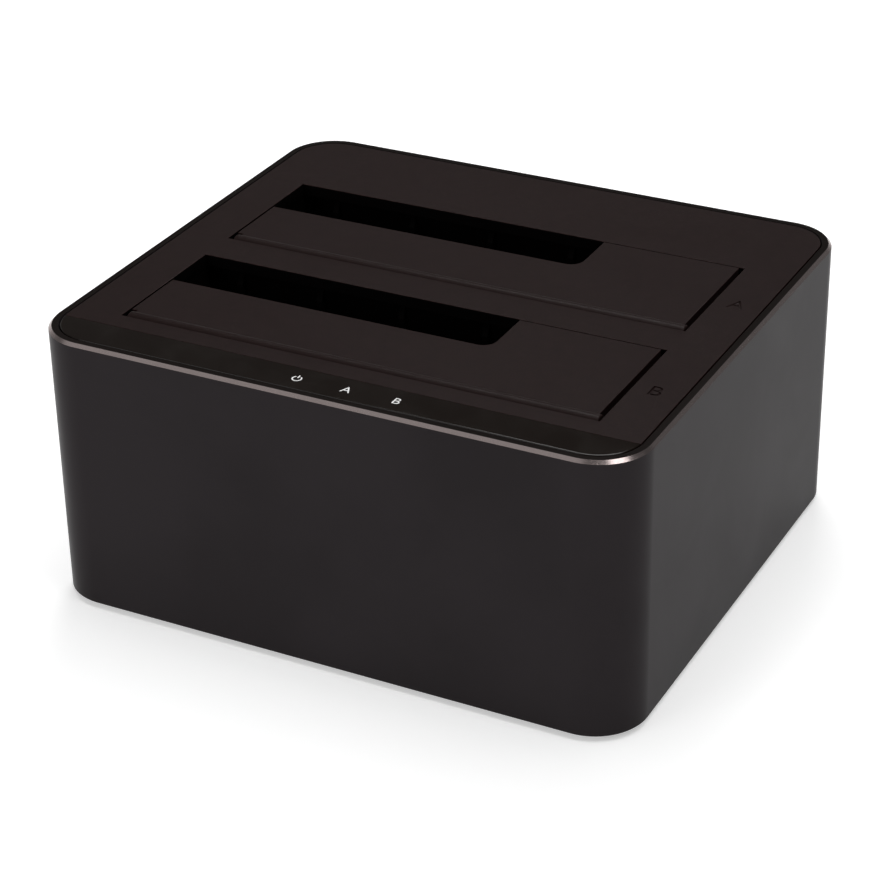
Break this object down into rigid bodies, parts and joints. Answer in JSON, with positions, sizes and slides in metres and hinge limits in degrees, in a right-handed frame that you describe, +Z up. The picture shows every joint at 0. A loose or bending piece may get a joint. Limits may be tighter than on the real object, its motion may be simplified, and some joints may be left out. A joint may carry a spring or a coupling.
{
  "type": "hard drive docking station",
  "caption": "Dual-bay desktop drive dock: rounded black aluminium sleeve, matte top panel with sprung L-shaped flaps over the drive wells, rear ports and power rocker.",
  "frame": {"origin": "centre of the object's underside, on the surface that its feet stand on", "axes": "+X to the right of a viewer at the front, along the longest side; +Y to the rear; +Z up"},
  "size_m": [0.13, 0.1156, 0.0615],
  "materials": {
    "sleeve": "satin black anodised, bright chamfer",
    "panel": "fine matte moulding",
    "flap": "fine matte moulding",
    "strip": "gloss black",
    "steel": "bright",
    "well": "matte black",
    "screw": "black zinc",
    "socket": "matte black",
    "contact": "gold plated",
    "board": "solder mask",
    "chip": "matte moulded",
    "crystal_can": "satin",
    "ferrite": "matte grey",
    "capacitor_can": "bright",
    "lamp": "milky",
    "clear": "clear",
    "plate": "matte black",
    "shell": "bright plated",
    "insulator": "matte black",
    "jack": "matte black",
    "switch": "satin black",
    "base": "fine matte moulding",
    "foot": "matte rubber"
  },
  "bodies": {
    "dock": {"outer_sleeve": "sleeve", "top_panel": "panel", "indicator_strip": "strip", "flap_spring_a": "steel", "flap_spring_b": "steel", "well_a": "well", "well_b": "well", "sata_socket_a": "socket", "sata_socket_b": "socket", "sata_contacts_a": "contact", "sata_contacts_b": "contact", "well_screws": "screw", "main_board": "board", "board_screws": "screw", "indicator_leds": "lamp", "light_pipe": "clear", "controller_chip": "chip", "flash_chip": "chip", "crystal": "crystal_can", "inductors": "ferrite", "capacitors": "capacitor_can", "rear_plate": "plate", "usb_shell": "shell", "usb_insulator": "insulator", "usb_contacts": "contact", "dc_jack": "jack", "dc_pin": "shell", "switch_housing": "switch", "switch_terminals": "contact", "base_cover": "base", "rubber_feet": "foot", "base_screws": "screw"},
    "flap_a": {"flap_a": "flap", "hinge_pins_a": "steel"},
    "flap_b": {"flap_b": "flap", "hinge_pins_b": "steel"},
    "rocker": {"switch_rocker": "switch"}
  },
  "joints": [
    {"name": "flap_a_hinge", "type": "hinge", "parent": "dock", "child": "flap_a", "pos_m": [0, 0.0002, 0.05975], "axis": [-1, 0, 0], "range_deg": [0, 90], "stiffness_Nm_per_rad": 0.002, "springref_deg": -57.3, "deforming": ["flap_spring_a"]},
    {"name": "flap_b_hinge", "type": "hinge", "parent": "dock", "child": "flap_b", "pos_m": [0, -0.0411, 0.05975], "axis": [-1, 0, 0], "range_deg": [0, 90], "stiffness_Nm_per_rad": 0.002, "springref_deg": -57.3, "deforming": ["flap_spring_b"]},
    {"name": "rocker_hinge", "type": "hinge", "parent": "dock", "child": "rocker", "pos_m": [-0.02, 0.0544, 0.01695], "axis": [0, 0, 1], "range_deg": [0, 22]}
  ]
}
